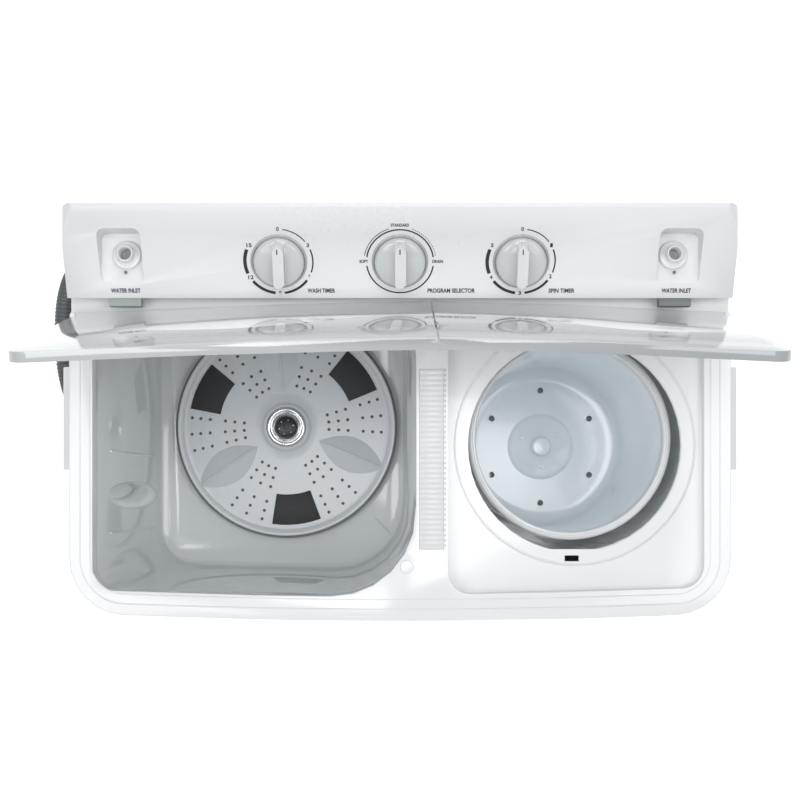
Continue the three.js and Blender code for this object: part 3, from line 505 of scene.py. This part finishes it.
def cut_away(piece, cutter):
    modifier = piece.modifiers.new("cut", "BOOLEAN")
    modifier.operation = "DIFFERENCE"
    modifier.solver = "EXACT"
    modifier.object = cutter
    apply_modifiers(piece)
    bpy.data.objects.remove(cutter)


def peg(place, radius, depth, vertices=16):
    """An upright cylinder whose top is at the place."""
    middle = Vector(place) - Vector((0, 0, depth / 2))
    bpy.ops.mesh.primitive_cylinder_add(
        vertices=vertices, radius=radius * MM, depth=depth * MM, location=middle * MM)
    return bpy.context.object


def around(centre, radius, angle, z=0.0):
    turn = math.radians(angle)
    return (centre[0] + radius * math.cos(turn), centre[1] + radius * math.sin(turn), z)


# ---------- drain hose ----------
HOSE_LINE = [
    (-389, 194, 130), (-389, 194, 200), (-386, 194, 300), (-383, 194, 400), (-382, 194, 500),
    (-384, 194, 570), (-387, 194, 634), (-389.7, 187.3, 667.7), (-391.9, 168.2, 696.2),
    (-393.5, 139.7, 715.3), (-394, 106, 722), (-393.5, 72.3, 715.3), (-391.9, 43.8, 696.2),
    (-389.7, 24.7, 667.7), (-387, 18, 634), (-384, 18, 570), (-382, 18, 500), (-382, 18, 400),
    (-383, 18, 300), (-384, 18, 210), (-384, 18, 150),
]


def smooth_line(points, steps):
    """Points along a rounded curve through the given ones."""
    points = [Vector(p) * MM for p in points]
    ends = [2 * points[0] - points[1], *points, 2 * points[-1] - points[-2]]
    line = []
    for before, start, end, after in zip(ends, ends[1:], ends[2:], ends[3:]):
        for k in range(steps):
            t = k / steps
            line.append(0.5 * (2 * start + (end - before) * t
                               + (2 * before - 5 * start + 4 * end - after) * t ** 2
                               + (3 * start - before - 3 * end + after) * t ** 3))
    return [*line, points[-1]]


def close_ends(piece):
    edit(piece)
    bpy.ops.mesh.select_all(action="DESELECT")
    bpy.ops.mesh.select_mode(type="EDGE")
    bpy.ops.mesh.select_non_manifold(extend=False)
    bpy.ops.mesh.edge_face_add()
    bpy.ops.mesh.select_all(action="SELECT")
    bpy.ops.mesh.normals_make_consistent(inside=False)
    leave_edit()


def add_drain_hose():
    """A corrugated tube: one rib turned round, repeated, and bent along the hose's line."""
    line = smooth_line(HOSE_LINE, 8)
    length = sum((b - a).length for a, b in zip(line, line[1:]))
    count = round(length / (4.6 * MM))
    pitch = length / count / MM
    outer, inner = HOSE_DIAMETER / 2, HOSE_DIAMETER / 2 - 1.7
    rib = [(inner, 0), (inner, 0.22 * pitch), (outer - 0.2, 0.4 * pitch), (outer, 0.6 * pitch),
           (outer - 0.2, 0.8 * pitch), (inner, pitch)]
    hose = turned("corrugated_drain_hose", rib, steps=22, closed=False)
    ribs = hose.modifiers.new("ribs", "ARRAY")
    ribs.count = count
    ribs.use_relative_offset = False
    ribs.use_constant_offset = True
    ribs.constant_offset_displace = (0, 0, pitch * MM)
    ribs.use_merge_vertices = True
    ribs.merge_threshold = 0.0001
    curve = bpy.data.curves.new("hose_line", "CURVE")
    curve.dimensions = "3D"
    spline = curve.splines.new("POLY")
    spline.points.add(len(line) - 1)
    for point, place in zip(spline.points, line):
        point.co = (*place, 1)
    guide = bpy.data.objects.new("hose_line", curve)
    bpy.context.collection.objects.link(guide)
    bend = hose.modifiers.new("bend", "CURVE")
    bend.object = guide
    bend.deform_axis = "POS_Z"
    apply_modifiers(hose)
    bpy.data.objects.remove(guide)
    close_ends(hose)
    smooth(hose, 60)
    finish_piece(hose, "hose_grey", "machine", ("drain_hose",))
    nozzle = softened("hose_end", 0.8)


# ---------- body and deck ----------
def deck_outline(inset, back_y):
    """A line round the deck at a distance inside its edge, from back left round the front to back right."""
    corner = 62.0 - inset
    side = HALF_WIDTH - inset
    front = FRONT_Y + inset
    line = [(-side, y) for y in (back_y, back_y - 60, 0.0, front + corner)]
    line += [(-side + corner * (1 - math.cos(a)), front + corner * (1 - math.sin(a)))
             for a in (math.radians(9 * k) for k in range(1, 11))]
    count = 40
    span = 2 * (side - corner)
    line += [(-side + corner + span * k / count, front) for k in range(1, count)]
    line += [(-x, y) for x, y in reversed(line[:14])]
    bowed = [(x, y - (FRONT_BOW * (1 - (x / HALF_WIDTH) ** 2) if y < -100 else 0)) for x, y in line]
    return [(x, y, RIM_Z + arch_at(x)) for x, y in bowed]


def add_deck():
    deck = welded("top_deck")
    bevel_where(deck, lambda p: p.z > 764 and (abs(p.x) > 352 or p.y < -203), 6.0, 4)
    bevel_where(deck, lambda p: p.z > 776 and p.x < 20 and abs(p.x) < 350 and -202 < p.y < 100, 2.2, 3)
    round_edges(deck, 0.8)
    finish_piece(deck, "white_gloss", "machine", ("top_deck",))
    for name, inset, radius in (("outer", 13.0, 0.9), ("inner", 24.0, 0.7)):
        line = [(x, y, z - 0.25) for x, y, z in deck_outline(inset, DECK_STEP_Y - 4)]
        finish_piece(bead(f"deck_bead_{name}", line, radius), "white_gloss")
    lip = [(x, y, z - 1.6) for x, y, z in deck_outline(4.5, 0.0) if y < FRONT_Y and -196 < x < 190]
    finish_piece(bead("front_lip_line", lip, 1.6), "white_gloss")
    plug_z = RIM_Z + arch_at(PLUG_X)
    plug = turned("deck_plug", [(0, -3), (7.5, -3), (7.5, 0.6), (6.9, 1.2), (0, 1.5)], steps=40)
    settle(plug, place=(PLUG_X, PLUG_Y, plug_z))
    smooth(plug)
    finish_piece(plug, "white_gloss")


def add_washboard():
    softened("washboard_strip", 0.35, 2, 20)
    dashes = []
    for k in range(35):
        y = -142 + 5.8 * k
        dashes.append(bead("dash", [(50.8, y, 793.0), (50.8, y + 2.6, 793.0)], 0.45))
    finish_piece(joined("washboard_dashes", dashes), "white_gloss", material=SEAT_GREY)


def add_body():
    softened("cabinet", 1.5)
    softened("base_tray", 1.5)
    for node, width in (("hand_grip_left", 1.2), ("hand_grip_right", 1.2), ("hose_hook", 1.0),
                        ("drain_elbow", 0.8),
                        ("hinge_block_left", 0.6), ("hinge_block_centre", 0.6), ("hinge_block_right", 0.6),
                        ("rear_cover", 0.6), ("power_cord_gland", 0.6)):
        softened(node, width)
    screws = []
    for x in (-300, -100, 100, 300):
        for z in (112, 638):
            head = turned("screw", [(0, 0), (4.2, 0), (4.2, 1.2), (2.8, 2.2), (0, 2.2)], steps=20)
            settle(head, turn=(-90, 0, 0), place=(x, 227.2, z))
            screws.append(head)
    rear = joined("rear_cover_screws", screws)
    smooth(rear)
    finish_piece(rear, "steel")


# ---------- wash side ----------
def add_wash_tub():
    tub = welded("wash_tub")
    round_edges(tub, 0.8, 2, 40)
    smooth(tub, 42)
    finish_piece(tub, "tub_grey", "machine", ("wash_tub",))
    # A dark ring of painted shadow fills the gap round the pulsator.
    gap_shadow_ring = turned("pulsator_gap_painted_shadow_ring", [(150.7, 400), (153.2, 400), (153.2, 414.5), (150.7, 414.5)],
                  (PULSATOR_X, PULSATOR_Y), 96)
    finish_piece(gap_shadow_ring, "tub_grey", material=TUB_SHADOW)
    bpy.ops.mesh.primitive_uv_sphere_add(segments=32, ring_count=24, radius=MM)
    channel = bpy.context.object
    channel.name = "tub_wall_channel"
    settle(channel, turn=(0, -2.1, 0), place=(-342.5, -85, 560), scale=(7.0, 18.0, 150.0))
    smooth(channel, 60)
    finish_piece(channel, "tub_grey")
    ribs = [
        bead("rib", [(-336.0, -32, 430), (-345.6, -32, 690)], 1.4),
        bead("rib", [(-336.0, -130, 430), (-345.0, -130, 690)], 1.0),
        bead("rib", [(-36, -118, 401), (-14, -141, 405)], 1.3),
    ]
    finish_piece(joined("tub_wall_ribs", ribs), "tub_grey")


def add_pulsator():
    centre = (PULSATOR_X, PULSATOR_Y)
    top, bottom = PULSATOR_TOP, PULSATOR_BOTTOM
    disc = turned("pulsator_disc", [
        (0, bottom), (144, bottom), (149.5, bottom + 2), (150, bottom + 4), (150, top + 2.6),
        (149, top + 3.8), (146.5, top + 4), (144.5, top + 3.2), (141, top + 0.4), (138, top), (136, top),
        (48, top), (37, top), (34, top + 1.4),
        (31.5, top + 5.4), (29.5, top + 6.8), (27.6, top + 7), (27.2, top + 4), (0, top + 4),
    ], centre, 96)
    holes = [peg(around(centre, r, group + spoke, top + 3), 2.2, 9, 12)
             for group in HOLE_GROUPS for spoke in HOLE_SPOKES for r in HOLE_RADII]
    cut_away(disc, joined("hole_cutters", holes))
    smooth(disc, 30)
    pieces = [disc]
    for angle in FIN_ANGLES:
        outline = [(24 * (1 - (k / 10) ** 2), 4.9 * k) for k in range(-10, 11)]
        leaf = turned("leaf", outline, steps=4, closed=False)
        settle(leaf, turn=(0, 90, 0))
        settle(leaf, scale=(1, 1, 0.42))
        settle(leaf, turn=(0, 0, angle), place=around(centre, 97, angle, top))
        smooth(leaf, 30)
        ridge = bead("ridge", [around(centre, 97 + 4.6 * k, angle, top + 9.4 * (1 - (k / 10) ** 2))
                               for k in range(-10, 11)], 1.7)
        pieces += [leaf, ridge]
    shaft = peg((*centre, bottom + 1), 10, 109, 32)
    # A dark plate of painted shadow inside the disc shows at the bottom of each hole.
    plate = turned("pulsator_hole_painted_shadow_plate", [
        (50, bottom + 1), (136, bottom + 1), (136, bottom + 3.4), (50, bottom + 3.4),
    ], centre, 96)
    finish_piece(plate, "pulsator_blue", "pulsator", material=TUB_SHADOW)
    finish_piece(joined("pulsator_with_fins", [*pieces, shaft]), "pulsator_blue", "pulsator", ("pulsator",))
    for k in (1, 2, 3):
        pad = welded(f"lint_pad_{k}")
        round_edges(pad, 0.6)
        finish_piece(pad, "mesh_charcoal", "pulsator", (f"lint_pad_{k}",))
    ring = turned("hub_ring", [
        (15.5, top + 4.3), (26.5, top + 4.3), (26.8, top + 7.6), (25.6, top + 9.4), (23.6, top + 10),
        (21.6, top + 9.2),
        (20.6, top + 7.4), (19.4, top + 8.6), (17.6, top + 9), (16.2, top + 8.2), (15.5, top + 6.4),
    ], centre, 64)
    smooth(ring, 40)
    finish_piece(ring, "hub_chrome", "pulsator", ("pulsator_hub_ring",))
    cap = turned("bolt_cap", [
        (0, top + 4.3), (15, top + 4.3), (15, top + 6.6), (13.6, top + 7.6), (3.4, top + 7.8),
        (2.7, top + 5.4), (0, top + 5.4),
    ], centre, 48)
    smooth(cap, 40)
    finish_piece(cap, "black_plastic", "pulsator", ("pulsator_bolt_cap",))
    bolts = []
    for k in range(6):
        spot = Vector(around(centre, 9.6, 60 * k + 14, top + 7.6)) * MM
        bpy.ops.mesh.primitive_uv_sphere_add(segments=16, ring_count=10, radius=1.3 * MM, location=spot)
        bolts.append(bpy.context.object)
    dots = joined("hub_bolts", bolts)
    settle(dots, place=dots.location / MM)
    smooth(dots, 60)
    finish_piece(dots, "hub_chrome", "pulsator")


# ---------- spin side ----------
def add_basket():
    centre = (SPIN_X, SPIN_Y)
    bottom, top, outer = BASKET_BOTTOM, BASKET_TOP, BASKET_OUTER
    inner = outer - 2
    wall = [(0, bottom), (106, bottom), (111, bottom + 2), (outer, bottom + 7), (outer, top), (inner, top),
            (inner, bottom + 14), (inner - 2, bottom + 9), (inner - 6, bottom + 5), (inner - 12, bottom + 3),
            (88, bottom + 3), (70, bottom + 3), (52, bottom + 3), (46, bottom + 3), (43, bottom + 5),
            (40, bottom + 6), (20, bottom + 6), (14.5, bottom + 8),
            (13.5, bottom + 10), (13.2, bottom + 19), (11, bottom + 21.4), (0, bottom + 22)]
    basket = turned("spin_basket_shell", wall, centre, 96)
    holes = [peg(around(centre, 79, 60 * k + 30, bottom + 9), 4.2, 14, 24) for k in range(6)]
    cut_away(basket, joined("basket_hole_cutters", holes))
    smooth(basket, 30)
    finish_piece(basket, "basket_blue", "spin_basket", ("spin_basket",))
    ring = turned("balance_ring", [
        (109, 717), (118.5, 717), (118.5, 731), (117.6, 733.6), (115.6, 735), (113.4, 735), (112.8, 734.2),
        (112.2, 735), (110.6, 735), (109.4, 733.8), (109, 731.6),
    ], centre, 96)
    smooth(ring, 40)
    finish_piece(ring, "white_gloss", "spin_basket", ("basket_balance_ring",))
    screws = []
    for angle in (35, 155, 275):
        head = turned("screw", [(0, 0), (3.4, 0), (3.2, 1.4), (1.4, 1.9), (1.3, 1.2), (0, 1.2)], steps=20)
        settle(head, place=around(centre, 29, angle, bottom + 6))
        screws.append(head)
    plate = joined("basket_screws", screws)
    smooth(plate)
    finish_piece(plate, "basket_blue", "spin_basket")


def add_recess_lines():
    """Raised ring round the spin mouth, and the two lines behind it."""
    circle = [around(MOUTH_CENTRE, MOUTH_BEAD_R, 4 * k, RECESS_BEAD_Z) for k in range(90)]
    finish_piece(bead("spin_mouth_bead", circle, 0.9, closed=True), "white_gloss")
    lines = [bead("line", [(x, 78, RECESS_BEAD_Z), (x, 96, RECESS_BEAD_Z)], 0.8) for x in (107, 292)]
    finish_piece(joined("recess_rear_lines", lines), "white_gloss")


# ---------- control panel ----------
def on_panel(piece, x, y, lift=0.0):
    """Lays a piece made flat at the origin on the sloping panel."""
    settle(piece, turn=(PANEL_SLOPE, 0, 0), place=(x, y, panel_z(y) + lift))


def arc(radius, start, end, step=6.0):
    """Points on a circle between two clock angles, in degrees clockwise from the top."""
    count = max(2, round(abs(end - start) / step))
    turns = [math.radians(start + (end - start) * k / count) for k in range(count + 1)]
    return [(radius * math.sin(t), radius * math.cos(t), 0.0) for t in turns]


def word(name, text, middle, width, height):
    """Flat lettering of a given width and height, round its own middle."""
    bpy.ops.object.text_add(location=(0, 0, 0))
    label = bpy.context.object
    label.name = name
    label.data.body = text
    label.data.align_x = "CENTER"
    label.data.align_y = "CENTER"
    label.data.extrude = 0.02
    label.data.offset = 0.028
    bpy.ops.object.convert(target="MESH")
    label = bpy.context.object
    size = label.dimensions
    settle(label, place=(*middle, 0), scale=(width * MM / size.x, height * MM / size.y, 0.15 * MM / size.z))
    return label


def flat_bead(name, points, width):
    line = bead(name, points, width / 2)
    settle(line, scale=(1, 1, 0.24 / width))
    return line


def add_timer_marks(name, x, numbers):
    stops = (0, 60, 118, 180, 240, 300)
    widths = (1.2, 1.6, 2.8, 3.3, 3.8)
    marks = []
    for start, end, width in zip(stops, stops[1:], widths):
        marks.append(flat_bead("arc", arc(DIAL_R, start + 8, end - 8, 4), width))
    for number, angle in zip(numbers, stops):
        turn = math.radians(angle)
        middle = (DIAL_R * math.sin(turn), DIAL_R * math.cos(turn))
        marks.append(word("number", number, middle, 2.9 * len(number), 4.6))
    dial = joined(f"{name}_dial_marks", marks)
    on_panel(dial, x, KNOB_Y, MARK_LIFT)
    finish_piece(dial, "black_plastic", material=MARK_INK)


def add_selector_marks():
    marks = [
        flat_bead("ring", arc(DIAL_R - 0.6, -82, 82, 4), 1.6),
        flat_bead("ring", arc(DIAL_R - 0.6, 98, 262, 4), 1.6),
        flat_bead("ring", arc(DIAL_R + 2.2, -80, -18, 4), 0.8),
        word("name", "STANDARD", (0, DIAL_R + 4.4), 20, 3.6),
        word("name", "SOFT", (-DIAL_R - 2.5, 0), 9.5, 3.6),
        word("name", "DRAIN", (DIAL_R + 4.0, 0), 12, 3.6),
    ]
    for k in range(16):
        angle = 20 + 3.9 * k
        marks.append(flat_bead("dot", arc(DIAL_R + 2.2, angle, angle + 1.6, 1), 0.9))
    dial = joined("selector_dial_marks", marks)
    on_panel(dial, 0, KNOB_Y, MARK_LIFT)
    finish_piece(dial, "black_plastic", material=MARK_INK)


def add_names():
    names = (("WATER INLET", -306.6, 33), ("WATER INLET", 309.0, 33), ("WASH TIMER", -88.0, 31),
             ("PROGRAM SELECTOR", 57.0, 53), ("SPIN TIMER", 180.5, 29))
    labels = []
    for text, x, width in names:
        label = word("name", text, (0, 0), width, 5.2)
        on_panel(label, x, NAME_Y, MARK_LIFT)
        labels.append(label)
    finish_piece(joined("panel_names", labels), "black_plastic", material=MARK_INK)


def add_knob(name, x):
    base = turned("knob_base", [
        (0, 0.4), (27.2, 0.4), (28, 1.4), (27.8, 5.4), (26.6, 7.6), (24.6, 8.7), (0, 9.6),
    ], steps=72)
    smooth(base, 40)
    bpy.ops.mesh.primitive_cube_add(size=MM)
    bar = bpy.context.object
    settle(bar, place=(0, 0, 13.5), scale=(13.6, 53.0, 17.0))
    bevel_where(bar, lambda p: abs(p.x) > 6 and abs(p.y) > 26, 6.0, 6)
    edit(bar)
    bpy.ops.mesh.select_all(action="DESELECT")
    mesh = bmesh.from_edit_mesh(bar.data)
    for face in mesh.faces:
        face.select_set(face.normal.z > 0.9)
    bmesh.update_edit_mesh(bar.data)
    bpy.ops.transform.resize(value=(0.8, 0.9, 1), center_override=(0, 0, 0))
    leave_edit()
    round_edges(bar, 1.6, 4, 30)
    bpy.ops.mesh.primitive_cube_add(size=MM)
    pointer = bpy.context.object
    settle(pointer, place=(0, 19.5, 22.05), scale=(1.2, 6.0, 0.3))
    pieces = [(base, "knob_base", None), (bar, "knob_bar", KNOB_BAR), (pointer, "knob_pointer", MARK_INK)]
    for piece, part, material in pieces:
        piece.name = f"{name}_{part}"
        on_panel(piece, x, KNOB_Y)
        nodes = (f"{name}_knob",) if part == "knob_base" else ()
        finish_piece(piece, "knob_grey", f"{name}_knob", nodes, material)
    seat = turned(f"{name}_knob_seat", [
        (28.7, -1.1), (31.2, -1.1), (31.2, 0.3), (30.4, 0.9), (29.2, 0.9), (28.7, 0.2),
    ], steps=72)
    smooth(seat, 40)
    on_panel(seat, x, KNOB_Y)
    finish_piece(seat, "knob_grey", material=SEAT_GREY)


def add_inlets():
    floor = INLET_FLOOR + 0.3
    for side, sign in (("left", -1), ("right", 1)):
        spigot = turned(f"water_inlet_{side}_spigot", [
            (7, 793), (9, 793), (9, floor), (15.7, floor), (15.7, floor + 2.8), (14.6, floor + 4),
            (11, floor + 4.4), (9.6, floor + 5.6), (9.2, floor + 14.4), (8.4, floor + 16), (7.6, floor + 16),
            (7, floor + 15.2),
        ], (sign * INLET_X, INLET_Y), 48)
        smooth(spigot, 40)
        finish_piece(spigot, "panel_grey", "machine", (f"water_inlet_{side}",))
        bore = peg((sign * INLET_X, INLET_Y, 799), 6.8, 2, 32)
        bore.name = f"water_inlet_{side}_bore"
        settle(bore, place=bore.location / MM)
        finish_piece(bore, "knob_grey", material=SEAT_GREY)
        # The screw head is coloured with the dark painted-shadow material, not steel.
        screw = turned(f"inlet_{side}_screw", [(0, 803), (2, 803), (1.8, 804), (0, 804.4)],
                       (sign * (INLET_X + 1.5), INLET_Y - 19.0), 20)
        finish_piece(screw, "steel", material=TUB_SHADOW)


def add_panel():
    panel = welded("control_panel")
    bevel_where(panel, lambda p: p.y > 226 and abs(p.x) > 368 and p.z < 846, 18.0, 6)
    bevel_where(panel, lambda p: p.y > 205 and p.z > 830, 3.0, 3)
    round_edges(panel, 0.7)
    finish_piece(panel, "panel_grey", "machine", ("control_panel",))
    # Both ducts take painted shade in place of their own plastic colour, the right one darker than the left.
    softened("water_duct_left", 0.5, material=DUCT_PAINTED_SHADE)
    softened("water_duct_right", 0.5, material=TUB_SHADOW)
    for name, x in KNOBS.items():
        add_knob(name, x)
    add_timer_marks("wash_timer", KNOBS["wash_timer"], ("0", "3", "6", "9", "12", "15"))
    add_timer_marks("spin_timer", KNOBS["spin_timer"], ("0", "1", "2", "3", "4", "5"))
    add_selector_marks()
    add_names()
    add_inlets()


def add_lids():
    for side in ("left", "right"):
        lid = welded(f"lid_{side}")
        round_edges(lid, 0.9, 3)
        finish_piece(lid, "lid_milk", f"lid_{side}", (f"lid_{side}",))


add_camera()
add_drain_hose()
add_studio()
add_body()
add_deck()
add_washboard()
add_wash_tub()
add_pulsator()
add_basket()
add_recess_lines()
add_panel()
add_lids()
for foot in ("front_left", "front_right", "back_left", "back_right"):
    softened(f"foot_{foot}", 0.8)

for node, thing in frame["nodes"].items():
    thing.data.materials.clear()
    thing.data.materials.append(MATERIALS[NODE_SLOT[node]])
